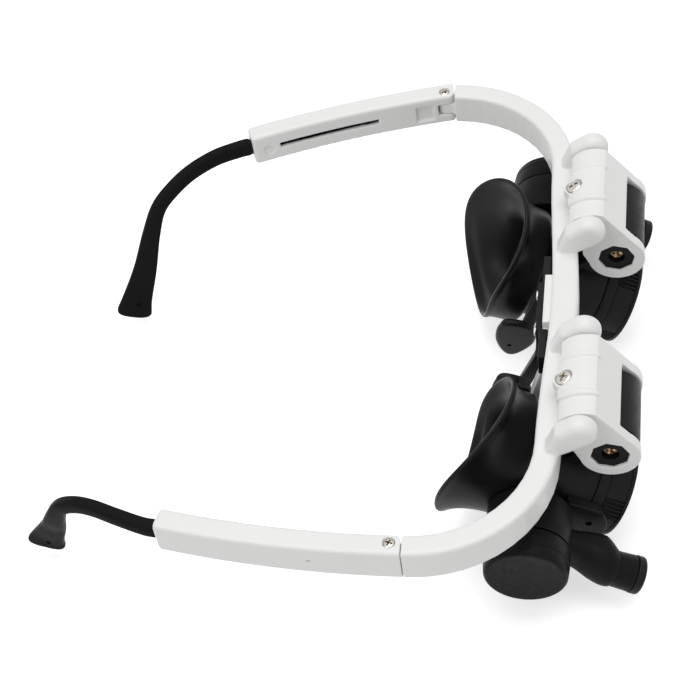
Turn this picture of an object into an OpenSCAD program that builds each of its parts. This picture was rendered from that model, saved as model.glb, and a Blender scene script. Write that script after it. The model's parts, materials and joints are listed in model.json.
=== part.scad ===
// Lighted headband magnifier: a spectacle frame with two flip-up loupes, each with a swivel lamp.
// Millimetres. +X is the wearer's left, -Y the wearer's front, +Z up. The origin lies midway
// between the two temple hinge pins, level with the top of the front bar.

/* [Front bar] */
// From the middle of the bar to each temple hinge pin
hinge_half_span = 76; // [70:1:84]
// Height of the bar and of the temples at the hinges
bar_height = 9.7; // [8.6:0.1:11]
// Thickness of the bar at its hinge ends
bar_end_thickness = 5.9; // [5.4:0.1:6.4]
// Thickness of the bar at its middle
bar_middle_thickness = 6.7; // [6:0.1:8]
// From the hinge pins forward to the bar's front face, at the middle
bar_depth = 39.9; // [36:0.5:44]
// Inner radius of the two front corners in plan
corner_radius = 27.6; // [22:0.2:31]
// Rounding of the bar's and the temples' long edges
edge_round = 1; // [0.5:0.1:1.4]

/* [Hinges] */
// Radius of each hinge screw's shank
hinge_pin_r = 1; // [0.7:0.05:1.2]
// Height of the tongue that the bar puts into each temple
tongue_height = 3.6; // [3:0.1:4.4]
// Radius of the tongue's round end
tongue_r = 2; // [1.8:0.05:2.1]
// From the pin forward to the seam between the bar and the temple
seam_offset = 2.85; // [2.5:0.05:3.4]

/* [Temples] */
// From the hinge pin to the temple's rear end
temple_length = 55.5; // [48:0.5:62]
// Width of the temple across the head
temple_width = 5.8; // [5.4:0.1:6.4]
// Radius of the temple's inward bow in plan
temple_bow_radius = 280; // [220:10:400]
// How far the left temple is folded in, in degrees
left_fold = 12.5; // [0:0.5:20]
// Length of the travel slot in the temple's inner face
slot_length = 28.5; // [20:0.5:30]
// Height of the travel slot
slot_height = 1.7; // [1.4:0.1:2.6]

/* [Temple tips] */
// Width of the sliding bar inside the temple
slide_width = 1.8; // [1.4:0.1:2.2]
// Height of the sliding bar
slide_height = 4; // [3.4:0.1:4.4]
// Running gap round the sliding bar
slide_gap = 0.3; // [0.2:0.05:0.4]
// Thickness of the rubber tip
tip_thickness = 3.3; // [3:0.1:4]
// Height of the rubber tip where it leaves the temple
tip_height = 5.2; // [4.8:0.1:6]
// Width of the tip's flared foot
tip_foot_width = 10.4; // [7:0.2:12]
// Radius of the eyelet in the foot
tip_eyelet_r = 0.8; // [0.5:0.1:1.2]

/* [Brackets] */
// From the middle of the bar to each loupe's centre plane
loupe_half_spacing = 32; // [30:0.5:33]
// From the bar's front face forward to the bracket's tube axis
tube_ahead = 8.9; // [8.4:0.1:10]
// From the bar's top down to the tube axis
tube_drop = 7.8; // [7:0.1:9]
// Outer radius of the bracket's end rings
tube_r = 7.3; // [6.9:0.1:7.6]
// Half of the bracket's length along the tube
bracket_half_length = 12.2; // [11.6:0.1:12.6]
// Thickness of each end ring
end_ring_thickness = 2.7; // [2.2:0.1:3.2]
// Height of the bracket's crowned top above the bar
plate_rise = 8.2; // [7.6:0.1:9]
// Radius of the crown from front to rear
crown_r = 7.5; // [7:0.1:9]
// Corner radius of the octagonal end plugs
plug_r = 4.75; // [4:0.05:5.2]
// Thickness of the ears beside each bracket
ear_thickness = 5.5; // [4.8:0.1:6]

/* [Loupes] */
// How far the loupes point down from level, in degrees
loupe_tilt = 25; // [15:1:30]
// From the tube axis to the loupe's optical axis
loupe_drop = 24.8; // [24:0.1:27]
// Outer radius of the loupe barrel
barrel_r = 12.6; // [12:0.1:13]
// Wall of the barrel
barrel_wall = 1.6; // [1.2:0.1:2]
// From the tube axis forward to the front of the lens ring
ring_front = 13; // [12:0.1:15]
// Depth of the turning lens ring
ring_depth = 6; // [5:0.1:7]
// From the tube axis back to the barrel's rear shoulder
barrel_rear = 14; // [13:0.1:15]
// Number of grip ribs in each of the ring's four groups
rib_count = 5; // [3:1:6]

/* [Eyecups] */
// Mean radius of the eyecup's rim
rim_r = 18.4; // [17:0.1:19.5]
// From the tube axis back to the rim, on average
rim_back = 26.4; // [25:0.1:29]
// How much further back the rim's temple side reaches
wing_reach = 4.7; // [2:0.1:6]
// Wall of the eyecup
eyecup_wall = 1.8; // [1.4:0.1:2.2]

/* [Lamps] */
// From the tube axis back to the lamp's pivot
lamp_back = 9.9; // [9:0.1:10.5]
// Outer radius of the battery drum
drum_r = 10.4; // [10:0.1:10.8]
// From the loupe's centre plane out to the end of the battery cap
drum_reach = 33; // [32:0.1:36]
// Length of the battery cap
cap_length = 7; // [5.5:0.1:8]
// Wall of the drum
drum_wall = 2.2; // [1.8:0.1:2.3]
// Radius of the lamp head
lamp_head_r = 4.6; // [4.2:0.1:5]
// From the tube axis forward to the front of the lamp head
lamp_front = 19.6; // [18:0.1:22]
// Radius of the lamp's bulb
led_r = 2.5; // [2:0.1:2.6]

/* [Hidden] */
$fn = 96;

white = "whitesmoke";
black = [0.11, 0.11, 0.12];
nickel = "silver";
brass = [0.72, 0.5, 0.3];
clear = [0.8, 0.88, 0.92, 0.5];

// A cut runs this far past the face that it opens
past = 1;
// Radial gap of a shaft that turns in its hole
running_gap = 0.05;
// Gap between pieces that turn face to face
face_gap = 0.1;

// Front bar in plan
pin_inset = 0.5;
bar_end_x = hinge_half_span + pin_inset;
corner_x = bar_end_x - bar_end_thickness / 2 - corner_radius;
corner_y = -3.7;
corner_outer_r = corner_radius + bar_end_thickness;
bar_front_y = -bar_depth;
bar_rear_y = -bar_depth + bar_middle_thickness;
front_sag = corner_y - corner_outer_r - bar_front_y;
rear_sag = corner_y - corner_radius - bar_rear_y;
middle_steps = 7;
corner_steps = 12;

// Temple
seam_gap = 0.15;
hinge_swing_r = seam_offset - seam_gap;
slot_rear_y = 47.7;
slide_angle = atan((temple_length + slot_rear_y - slot_length) / 2 / temple_bow_radius);
temple_end_x = bar_end_x - temple_length * temple_length / (2 * temple_bow_radius);
temple_mid_z = -bar_height / 2;
slide_length = temple_length - slot_rear_y + slot_length + 1;
tip_joint_length = 3;

// Rubber tip: points of its centre line past the temple's end, then its height and thickness there
tip_clearance = 0.3;
tip_route = [
  [0, 0.3, 0], [-0.5, 3.8, 0], [-2.7, 10.6, 0.2], [-5.8, 17.5, -0.8], [-8.5, 23.2, -3.4],
  [-9.9, 27.6, -8.8], [-11, 31.3, -16.4], [-14.6, 36.2, -26.4], [-20.3, 41.4, -34.5], [-22.6, 43.6, -38.3]
];
tip_lateral = [0.94, 0.34, 0];
tip_steps = 3;

// Bracket, in Y and Z from the tube axis
tube_forward = bar_depth + tube_ahead;
tube_y = -tube_forward;
tube_z = -tube_drop;
plate_top = plate_rise + tube_drop;
plate_seat_z = tube_drop + 3.4;
plate_rear_y = tube_ahead + 3.1;
crown_y = tube_ahead - 3.1;
crown_z = plate_top - crown_r;
ridge_y = tube_ahead - 5.7;
ridge_z = crown_z + sqrt(crown_r * crown_r - (crown_y - ridge_y) * (crown_y - ridge_y));
band_half_width = 5.8;
band_lift = 0.35;
bar_clearance = 0.3;
cheek_back_y = tube_ahead - bar_clearance;
cheek_low_z = 1.5;
window_edge_y = -2.3;
roller_r = tube_r - 0.3;
cover_gap = 0.35;
washer_thickness = 0.45;
roller_half_length = bracket_half_length - end_ring_thickness - washer_thickness - 2 * face_gap;
plug_turn = -10;
plug_length = 2;
plug_gap = 0.05;
pivot_r = 1.2;
pivot_head_r = 2;
pivot_head_height = 0.6;
pivot_head_sink = 0.9;
pivot_depth = 5;
ear_gap = 0.35;
ear_inner_x = bracket_half_length + ear_gap;
ear_lobe_r = 4.1;
ear_round_r = 2.3;
bracket_screw_y = -bar_depth + 2.2;
bracket_screw_top_z = 5.8;
bracket_screw_r = 1;
bracket_screw_head_r = 2;
bracket_screw_head_height = 0.9;
screw_tab_r = 2.6;

// Loupe, in its own axes: Y back along the optical axis, from the tube axis
ring_rear = -ring_front + ring_depth;
barrel_front = ring_rear + face_gap;
barrel_bore_r = barrel_r - barrel_wall;
spigot_length = 3;
spigot_r = barrel_bore_r - 0.08;
lens_seat_r = barrel_bore_r - 0.9;
ring_view_r = lens_seat_r - 0.9;
lens_fit = 0.1;
lens_thickness = 4;
lens_dome = 1.5;
neck_r = barrel_r - 2.3;
eyepiece_seat_r = neck_r - 1.3;
eyepiece_view_r = eyepiece_seat_r - 1;
eyepiece_shoulder_y = barrel_rear - 2.5;
lens_shoulder_y = -ring_front + 1.5;
neck_length = 3.5;
lug_x = barrel_r + 1.8;
lug_half_height = 5.9;

// Lamp, in the loupe's axes
boss_r = 4.5;
drum_start_x = 15.8;
drum_floor = 1.7;
cap_start_x = drum_reach - cap_length;
lamp_x = 25.1;
bezel_length = 2.1;
lamp_screw_r = 1.25;
lamp_screw_head_r = 2.6;
cell_r = drum_r - drum_wall - 0.15;
cell_thickness = 2;

// Skins and outlines
function unit(v) = v / norm(v);
function mix(a, b, t) = a + (b - a) * t;

// Points of a rectangle w by h with round corners, four points to a corner
function round_rect(w, h, r) = [
  for (c = [0:3], k = [0:3])
    let (sx = (c == 0 || c == 3) ? 1 : -1, sy = c < 2 ? 1 : -1, a = c * 90 + k * 30)
      [sx * (w / 2 - r) + r * cos(a), sy * (h / 2 - r) + r * sin(a)]
];

// A closed solid through rings that all have the same number of points
module skin(rings) {
  n = len(rings[0]);
  m = len(rings);
  polyhedron(
    points = [for (ring = rings) each ring],
    faces = concat(
      [[for (i = [n - 1:-1:0]) i]],
      [[for (i = [0:n - 1]) (m - 1) * n + i]],
      [for (k = [0:m - 2], i = [0:n - 1])
        let (a = k * n + i, b = k * n + (i + 1) % n)
          each [[a, b + n, a + n], [a, b, b + n]]]
    )
  );
}

// A closed ring-shaped solid through outlines that follow one another all the way round
module ring_skin(outlines) {
  n = len(outlines[0]);
  m = len(outlines);
  polyhedron(
    points = [for (outline = outlines) each outline],
    faces = [
      for (k = [0:m - 1], i = [0:n - 1])
        let (a = k * n + i, b = k * n + (i + 1) % n, up = ((k + 1) % m - k) * n)
          each [[a, a + up, b + up], [a, b + up, b]]
    ]
  );
}

module along_x(length, r, x = 0) translate([x, 0, 0]) rotate([0, 90, 0]) cylinder(h = length, r = r);

// A body of revolution about the optical axis: points are [radius, distance back]
module turned(points) rotate([-90, 0, 0]) rotate_extrude() polygon(points);

module on_left() children();
module on_right() mirror([1, 0, 0]) children();

module both_sides() {
  on_left() children();
  on_right() children();
}

module on_tube() translate([loupe_half_spacing, tube_y, tube_z]) children();

module on_loupe() on_tube() rotate([loupe_tilt, 0, 0]) children();

module on_optical_axis() on_loupe() translate([0, 0, -loupe_drop]) children();

module on_lamp_pivot() on_optical_axis() translate([0, lamp_back, 0]) children();

module folded(angle) {
  translate([hinge_half_span, 0, 0]) rotate([0, 0, angle]) translate([-hinge_half_span, 0, 0]) children();
}

module on_temple_end() {
  translate([temple_end_x, temple_length, temple_mid_z]) rotate([0, 0, slide_angle]) children();
}

// Phillips head: a shallow dome with a cross recess, facing +Z, seat at 0
module phillips_head(r, height) {
  difference() {
    intersection() {
      cylinder(h = height, r = r);
      translate([0, 0, height - 2.2 * r]) sphere(r = 2.2 * r);
    }
    for (a = [0, 90])
      rotate([0, 0, a + 20]) translate([-r * 0.62, -r * 0.13, height * 0.45]) cube([r * 1.24, r * 0.26, height]);
  }
}

// Front bar
// Plan of the bar, from the middle to the left seam: [inner point, outer point] at each step
function sag_at(x, sag) = sag * (1 - cos(180 * x / corner_x)) / 2;

bar_plan = concat(
  [for (k = [0:middle_steps - 1])
    let (x = corner_x * k / middle_steps)
      [[x, bar_rear_y + sag_at(x, rear_sag)], [x, bar_front_y + sag_at(x, front_sag)]]],
  [for (k = [0:corner_steps])
    let (a = -90 + 90 * k / corner_steps)
      [[corner_x + corner_radius * cos(a), corner_y + corner_radius * sin(a)],
       [corner_x + corner_outer_r * cos(a), corner_y + corner_outer_r * sin(a)]]],
  [[[corner_x + corner_radius, -seam_offset], [corner_x + corner_outer_r, -seam_offset]]]
);

function bar_ring(pair, side) =
  let (inner = pair[0], outer = pair[1], t = norm(outer - inner))
    [for (p = round_rect(t, bar_height, edge_round))
      let (q = mix(inner, outer, 0.5 + p[0] / t))
        [side * q[0], q[1], p[1] - bar_height / 2]];

module bar_beam() {
  last = len(bar_plan) - 1;
  skin(concat(
    [for (k = [last:-1:0]) bar_ring(bar_plan[k], -1)],
    [for (k = [1:last]) bar_ring(bar_plan[k], 1)]
  ));
}

module hinge_tongue() {
  difference() {
    translate([hinge_half_span, 0, temple_mid_z - tongue_height / 2]) union() {
      cylinder(h = tongue_height, r = tongue_r);
      translate([-tongue_r, -seam_offset - past, 0]) cube([2 * tongue_r, seam_offset + past, tongue_height]);
    }
    translate([hinge_half_span, 0, -bar_height]) cylinder(h = bar_height, r = hinge_pin_r + running_gap);
  }
}

// Ear beside a bracket: a rounded horn that rises from the bar's top and hangs over its front
module bracket_ear(x) {
  hull() {
    for (dx = [ear_round_r, ear_thickness - ear_round_r])
      translate([x + dx, bar_front_y - 2.2, 5.7]) rotate([0, 90, 0])
        rotate_extrude($fn = 24) intersection() {
          translate([ear_lobe_r - ear_round_r, 0]) circle(r = ear_round_r, $fn = 16);
          translate([0, -ear_round_r]) square(2 * ear_lobe_r);
        }
    for (dx = [1.9, ear_thickness - 1.9])
      translate([x + dx, bar_front_y + 2.2, 5]) sphere(r = 1.9, $fn = 16);
    for (dx = [1.2, ear_thickness - 1.2], y = [3.9, 5.4])
      translate([x + dx, bar_front_y + y, -1]) sphere(r = 1, $fn = 13);
  }
}

module bracket_seat() {
  front = bar_front_y + 0.8;
  translate([-bracket_half_length, front, -past])
    cube([2 * bracket_half_length, tube_y + plate_rear_y - front, plate_seat_z - tube_drop + past]);
}

module front_bar() {
  color(white) difference() {
    union() {
      bar_beam();
      both_sides() {
        hinge_tongue();
        translate([loupe_half_spacing, 0, 0]) {
          bracket_seat();
          bracket_ear(ear_inner_x);
          bracket_ear(-ear_inner_x - ear_thickness);
        }
      }
    }
    both_sides() {
      translate([loupe_half_spacing, bracket_screw_y, -5])
        cylinder(h = 12, r = bracket_screw_r + running_gap);
      translate([hinge_half_span, 0, -bar_height]) cylinder(h = bar_height, r = hinge_pin_r + running_gap);
    }
    for (x = [-nose_screw_x, nose_screw_x])
      translate([x, bar_rear_y - 3, nose_screw_z]) rotate([-90, 0, 0]) cylinder(h = 4, r = 0.75);
  }
}

// Nose piece
nose_screw_x = 6;
nose_screw_z = -7;
nose_web_half = 17;
nose_web_y = bar_rear_y + 0.1 + sag_at(nose_web_half, rear_sag);
nose_web_thickness = 1.3;
nose_strap_thickness = 1.8;
nose_strap_y = nose_web_y + nose_web_thickness;
nose_arm_y = nose_web_y + 6.2;

module nose_plate() {
  color(white) difference() {
    union() {
      translate([-nose_web_half, nose_web_y, -10.4]) cube([2 * nose_web_half, nose_web_thickness, 6.2]);
      both_sides() translate([nose_web_half - 4.2, 0, 0]) rotate([90, 0, 90])
        linear_extrude(4.2) polygon([
          [nose_web_y, -4.2], [nose_web_y + nose_web_thickness, -4.2],
          [nose_web_y + nose_web_thickness, -9], [nose_web_y + 4.5, -20.5], [nose_web_y + 2.2, -21.6],
          [nose_web_y, -10]
        ]);
    }
    for (x = [-nose_screw_x, nose_screw_x])
      translate([x, nose_web_y - past, nose_screw_z]) rotate([-90, 0, 0])
        cylinder(h = nose_web_thickness + 2 * past, r = 0.75);
  }
}

module nose_arm() {
  hull() {
    translate([10.3, nose_strap_y, -12.6]) cube([2, nose_strap_thickness, 3.4]);
    nose_arm_end();
  }
}

module nose_arm_end() translate([9, nose_arm_y, -26.4]) cube([1.6, 2.4, 3.2]);

module nose_bridge() {
  color(black) difference() {
    union() {
      translate([-12.3, nose_strap_y, -12.6]) cube([24.6, nose_strap_thickness, 3.4]);
      translate([-8.3, nose_strap_y, -9.4]) cube([16.6, nose_strap_thickness, 5]);
      both_sides() nose_arm();
    }
    for (x = [-nose_screw_x, nose_screw_x])
      translate([x, nose_strap_y - past, nose_screw_z]) rotate([-90, 0, 0])
        cylinder(h = nose_strap_thickness + 2 * past, r = 0.75);
  }
}

// Outline of a pad in Y and Z from the nose plate, and how far out it leans at each height
nose_pad_outline = [
  [12.9, -22.8], [11.6, -21.6], [6.9, -22.9], [5.9, -25.6], [6.6, -29.4], [9.6, -32.6], [11.9, -33.7],
  [13.4, -32], [14.3, -28.4], [13.9, -25]
];
nose_pad_r = 1.2;
function nose_pad_x(z) = 8.4 - 0.17 * (z + 21.6);

// A soft teardrop pad, hung on the end of the bridge's arm
module nose_pad() {
  difference() {
    hull() {
      for (p = nose_pad_outline)
        translate([nose_pad_x(p[1]), nose_web_y + p[0], p[1]]) sphere(r = nose_pad_r, $fn = 16);
    }
    translate([nose_pad_x(-30.2), nose_web_y + 11.9, -30.2]) rotate([0, 90, 0])
      cylinder(h = 8, r = 0.45, center = true);
    nose_arm();
  }
}

module nose_pads() color(black) both_sides() nose_pad();

module nose_screws() {
  color(nickel) for (x = [-nose_screw_x, nose_screw_x])
    translate([x, nose_strap_y + nose_strap_thickness, nose_screw_z]) rotate([-90, 0, 0]) {
      phillips_head(1.3, 0.6);
      translate([0, 0, -6]) cylinder(h = 6, r = 0.7);
    }
}

// Brackets
function tangent_angle(p, r, side) = atan2(p[1], p[0]) + side * acos(r / norm(p));
function on_circle(r, a) = [r * cos(a), r * sin(a)];

// Side view of the crowned top, from the ridge back over the bar
module crown_outline(lift, reach) {
  intersection() {
    translate([crown_y, crown_z]) circle(r = crown_r + lift);
    translate([ridge_y, plate_seat_z]) square([plate_rear_y + reach - ridge_y, 2 * crown_r]);
  }
}

// Side view of the bracket: slope down to the tube, end ring, and foot against the bar
module cheek_outline() {
  ridge = [ridge_y, ridge_z];
  foot = [cheek_back_y, cheek_low_z];
  graze_r = 0.98 * tube_r;
  circle(r = tube_r);
  polygon([
    ridge, on_circle(graze_r, tangent_angle(ridge, graze_r, 1)), [0, 0],
    on_circle(graze_r, tangent_angle(foot, graze_r, -1)), foot, [cheek_back_y, plate_seat_z + 1]
  ]);
  crown_outline(0, 0);
}

module bracket() {
  half_window = bracket_half_length - end_ring_thickness;
  screw_y = bracket_screw_y - tube_y;
  screw_top = bracket_screw_top_z + tube_drop;
  difference() {
    union() {
      rotate([90, 0, 90]) translate([0, 0, -bracket_half_length])
        linear_extrude(2 * bracket_half_length) cheek_outline();
      // Raised band between the ears, with a rounded tab round the screw
      rotate([90, 0, 90]) translate([0, 0, -band_half_width])
        linear_extrude(2 * band_half_width) crown_outline(band_lift, 0.5);
      translate([0, screw_y, plate_seat_z]) cylinder(h = screw_top - plate_seat_z, r = screw_tab_r);
    }
    // Space of the roller and its arm, open at the front and below
    along_x(2 * half_window, roller_r + cover_gap, -half_window);
    translate([-half_window, -tube_r - past, -tube_r - past])
      cube([2 * half_window, tube_r + past + window_edge_y, tube_r + plate_top]);
    translate([-half_window, -tube_r, -tube_r - past])
      cube([2 * half_window, 2 * tube_r + cheek_back_y, tube_r + past + cheek_low_z]);
    // Keyed seats of the end plugs
    for (side = [-1, 1])
      translate([side * (bracket_half_length - end_ring_thickness / 2), 0, 0])
        rotate([plug_turn, 0, 0]) rotate([0, 90, 0])
          cylinder(h = end_ring_thickness + past, r = plug_r, center = true, $fn = 8);
    // Counterbored screw hole
    translate([0, screw_y, plate_seat_z - past]) cylinder(h = 8, r = bracket_screw_r + running_gap);
    translate([0, screw_y, screw_top - bracket_screw_head_height])
      cylinder(h = 5, r = bracket_screw_head_r + 0.1);
  }
}

module left_bracket() color(white) on_left() on_tube() bracket();
module right_bracket() color(white) on_right() on_tube() bracket();

module bracket_screws() {
  color(nickel) both_sides()
    translate([loupe_half_spacing, bracket_screw_y, bracket_screw_top_z - bracket_screw_head_height]) {
      phillips_head(bracket_screw_head_r, bracket_screw_head_height + 0.1);
      translate([0, 0, -8.8]) cylinder(h = 8.8, r = bracket_screw_r);
    }
}

// Pieces on the tube axis of one bracket, once for each end
module at_both_ends() {
  both_sides() on_tube() for (side = [0, 1]) mirror([side, 0, 0]) children();
}

module end_plugs() {
  plug_x = bracket_half_length - end_ring_thickness + plug_gap;
  color(black) at_both_ends() difference() {
    translate([plug_x, 0, 0]) rotate([plug_turn, 0, 0]) rotate([0, 90, 0])
      cylinder(h = plug_length, r = plug_r - plug_gap, $fn = 8);
    along_x(plug_length + 2, pivot_r + running_gap, plug_x - past);
    along_x(plug_length, pivot_head_r + 0.15, plug_x + plug_length - pivot_head_height - pivot_head_sink);
  }
}

module pivot_screws() {
  head_x = bracket_half_length - end_ring_thickness + plug_gap + plug_length
    - pivot_head_height - pivot_head_sink;
  color(brass) at_both_ends() {
    translate([head_x, 0, 0]) rotate([0, 90, 0]) phillips_head(pivot_head_r, pivot_head_height);
    along_x(head_x - roller_half_length + pivot_depth - 0.5, pivot_r, roller_half_length - pivot_depth + 0.5);
  }
}

module friction_washers() {
  color(nickel) at_both_ends() difference() {
    along_x(washer_thickness, 3.6, roller_half_length + face_gap);
    along_x(washer_thickness + 2, pivot_r + running_gap, roller_half_length - past);
  }
}

// Temples
function temple_x(y) = bar_end_x - y * y / (2 * temple_bow_radius);

function temple_ring(y, inset) =
  let (a = atan(y / temple_bow_radius))
    [for (p = round_rect(temple_width - 2 * inset, bar_height - 2 * inset, edge_round))
      [temple_x(y) + p[0] * cos(a), y + p[0] * sin(a), p[1] + temple_mid_z]];

module temple_sleeve() {
  end_round = 1;
  front = -seam_offset + seam_gap;
  body = temple_length - end_round;
  steps = 9;
  skin(concat(
    [for (k = [0:steps]) temple_ring(mix(front, body, k / steps), 0)],
    [for (k = [1:3]) temple_ring(body + end_round * sin(30 * k), end_round * (1 - cos(30 * k)) * 0.7)]
  ));
}

// Room for the bar's tongue, and for the corner that swings past the bar's end
module hinge_room() {
  low = temple_mid_z - tongue_height / 2 - 0.15;
  room = tongue_height + 0.3;
  swing = tongue_r + 0.3;
  translate([hinge_half_span, 0, low]) {
    cylinder(h = room, r = swing);
    translate([-temple_width, -seam_offset - past, 0])
      cube([temple_width, seam_offset + past + swing, room]);
    translate([-past, -seam_offset - past, 0]) cube([swing + past, seam_offset + past, room]);
  }
  translate([hinge_half_span, 0, -bar_height - past]) difference() {
    translate([-temple_width, -seam_offset - past, 0])
      cube([temple_width, seam_offset + past, bar_height + 2 * past]);
    cylinder(h = bar_height + 2 * past, r = hinge_swing_r);
  }
}

module slide_channel() {
  w = slide_width + 2 * slide_gap;
  h = slide_height + 2 * slide_gap;
  on_temple_end() {
    translate([-w / 2, -slide_length - 1, -h / 2]) cube([w, slide_length + 1 + past, h]);
    translate([-temple_width, -temple_length + slot_rear_y - slot_length, -slot_height / 2])
      cube([temple_width, slot_length, slot_height]);
  }
}

// Marks on the inner face: a moulding dimple, a square pocket and a slit near the hinge
module inner_face_marks() {
  face = temple_width / 2;
  translate([temple_x(50.5) - face, 50.5, temple_mid_z - 0.6]) rotate([0, 0, 10]) rotate([0, 90, 0])
    cylinder(h = 0.6, r = 1.7, center = true);
  translate([temple_x(6) - face - past, 3.6, -7.9]) cube([1 + past, 5, 5.4]);
  translate([temple_x(19) + face - 1, 18.7, temple_mid_z]) rotate([0, 90, 0]) cylinder(h = 2, r = 0.45);
}

module grip_scallops() {
  for (k = [0:6])
    translate([temple_x(18 + 3 * k), 18 + 3 * k, -bar_height - 1]) rotate([0, 90, 0]) rotate([0, 0, 15])
      cylinder(h = 9, r = 1.5, center = true, $fn = 12);
}

module temple() {
  difference() {
    temple_sleeve();
    hinge_room();
    slide_channel();
    inner_face_marks();
    grip_scallops();
    translate([hinge_half_span, 0, -bar_height + 1]) cylinder(h = bar_height, r = hinge_pin_r + running_gap);
    translate([hinge_half_span, 0, -1]) cylinder(h = 2, r = 1.5);
  }
}

module left_temple() color(white) on_left() folded(left_fold) temple();
module right_temple() color(white) on_right() temple();

module hinge_screw() {
  translate([hinge_half_span, 0, 0]) {
    translate([0, 0, -1]) phillips_head(1.4, 0.9);
    translate([0, 0, -bar_height + 1.2]) cylinder(h = bar_height - 2.2, r = hinge_pin_r);
  }
}

module left_hinge_screw() color(nickel) on_left() folded(left_fold) hinge_screw();
module right_hinge_screw() color(nickel) on_right() hinge_screw();

// Temple tips
module slide_core() {
  translate([-slide_width / 2, -slide_length, -slide_height / 2])
    cube([slide_width, slide_length + tip_joint_length, slide_height]);
}

// Sliding bar with the stop lug that travels in the temple's slot
module slide_bar() {
  lug_length = 3.6;
  lug_height = slot_height - 0.5;
  on_temple_end() {
    slide_core();
    translate([-slide_width / 2 - 1, -temple_length + slot_rear_y - slot_length + 0.3, -lug_height / 2])
      cube([1 + past / 2, lug_length, lug_height]);
  }
}

module left_slide_bar() color(black) on_left() folded(left_fold) slide_bar();
module right_slide_bar() color(black) on_right() slide_bar();

function catmull(p0, p1, p2, p3, t) =
  0.5 * (2 * p1 + (p2 - p0) * t + (2 * p0 - 5 * p1 + 4 * p2 - p3) * t * t
         + (3 * p1 - p0 - 3 * p2 + p3) * t * t * t);

function route_at(points, s) =
  let (last = len(points) - 1, k = min(floor(s), last - 1), t = s - k)
    catmull(points[max(k - 1, 0)], points[k], points[k + 1], points[min(k + 2, last)], t);

// Height of the tip along its route: slim at the bend, flared at the foot
function tip_height_at(s) =
  s < 5 ? mix(tip_height, 4.3, s / 5) : mix(4.3, tip_foot_width, pow((s - 5) / 4, 1.6));

// Direction across the tip's thickness
function tip_side(s) =
  let (t = tip_along(s)) unit(tip_lateral - t * (tip_lateral * t));

function tip_along(s) = unit(route_at(tip_route, s + 0.05) - route_at(tip_route, s - 0.05));

function tip_ring(s, scale_height, scale_width) =
  let (
    at = route_at(tip_route, s),
    side = tip_side(s),
    up = cross(side, tip_along(s)),
    h = tip_height_at(s) * scale_height,
    w = tip_thickness * scale_width
  )
    [for (p = round_rect(w, h, min(w, h) * 0.42)) at + side * p[0] + up * p[1]];

module tip() {
  count = len(tip_route) - 1;
  steps = count * tip_steps;
  start = [temple_end_x, temple_length, temple_mid_z];
  eyelet_at = count - 0.95;
  side = tip_side(eyelet_at);
  eyelet = start + route_at(tip_route, eyelet_at) - 0.5 * cross(side, tip_along(eyelet_at));
  difference() {
    translate(start) skin(concat(
      [tip_ring(0.05, 0.9, 0.9)],
      [for (k = [1:steps - tip_steps]) tip_ring(count * k / steps, 1, 1)],
      [tip_ring(count - 0.75, 1, 1), tip_ring(count - 0.45, 0.96, 0.97), tip_ring(count - 0.22, 0.85, 0.9),
       tip_ring(count - 0.08, 0.68, 0.72), tip_ring(count, 0.45, 0.5)]
    ));
    on_temple_end() slide_core();
    translate(eyelet) rotate([0, acos(side[2]), atan2(side[1], side[0])])
      cylinder(h = 12, r = tip_eyelet_r, center = true);
  }
}

module left_tip() color(black) on_left() folded(left_fold) tip();
module right_tip() color(black) on_right() tip();

// Loupe
// Roller in the bracket's tube, with the arm that carries the barrel
module roller() {
  arm_half_width = 6;
  difference() {
    union() {
      along_x(2 * roller_half_length, roller_r, -roller_half_length);
      translate([-arm_half_width, 0, 0]) rotate([90, 0, 90]) linear_extrude(2 * arm_half_width)
        polygon([[-3.4, 0], [3.4, 0], [3.4, -9], [6.4, -loupe_drop + barrel_r - 3.4],
                 [-6.4, -loupe_drop + barrel_r - 3.4], [-3.4, -9]]);
    }
    for (side = [0, 1]) mirror([side, 0, 0])
      along_x(pivot_depth + past, pivot_r + running_gap, roller_half_length - pivot_depth);
    translate([0, -20, -loupe_drop]) rotate([-90, 0, 0]) cylinder(h = 40, r = barrel_r + 0.03);
  }
}

module left_roller() color(black) on_left() on_loupe() roller();
module right_roller() color(black) on_right() on_loupe() roller();

// Side view of the lug on the barrel's outer side
module lug_outline() {
  front = -barrel_front - 0.2;
  rear = 1.6;
  intersection() {
    translate([rear, -lug_half_height]) square([front - rear, 2 * lug_half_height]);
    translate([(front + rear) / 2, 0]) circle(r = lug_half_height + 0.4);
  }
}

module barrel() {
  groove_y = -3.9;
  difference() {
    union() {
      turned([[0, barrel_front], [barrel_r, barrel_front], [barrel_r, groove_y - 0.3],
              [barrel_r - 0.5, groove_y - 0.3], [barrel_r - 0.5, groove_y + 0.3], [barrel_r, groove_y + 0.3],
              [barrel_r, barrel_rear - 0.6], [barrel_r - 0.6, barrel_rear], [neck_r, barrel_rear],
              [neck_r, barrel_rear + neck_length], [0, barrel_rear + neck_length]]);
      // Lug beside the lens ring
      rotate([90, 0, 90]) translate([0, 0, barrel_r - 3]) linear_extrude(lug_x - barrel_r + 3)
        mirror([1, 0, 0]) lug_outline();
      // Boss that carries the lamp
      translate([0, lamp_back, 0]) along_x(drum_start_x - face_gap - barrel_r + 3, boss_r, barrel_r - 3);
    }
    turned([[0, barrel_front - past], [barrel_bore_r, barrel_front - past], [barrel_bore_r, 7],
            [eyepiece_view_r, eyepiece_shoulder_y - 2], [eyepiece_view_r, eyepiece_shoulder_y],
            [eyepiece_seat_r, eyepiece_shoulder_y],
            [eyepiece_seat_r, barrel_rear + neck_length + past], [0, barrel_rear + neck_length + past]]);
    translate([0, -5, 0]) along_x(3, 0.8, lug_x - 1.6);
    translate([0, lamp_back, 0]) along_x(6, lamp_screw_r + running_gap, drum_start_x - 4);
  }
}

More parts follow.
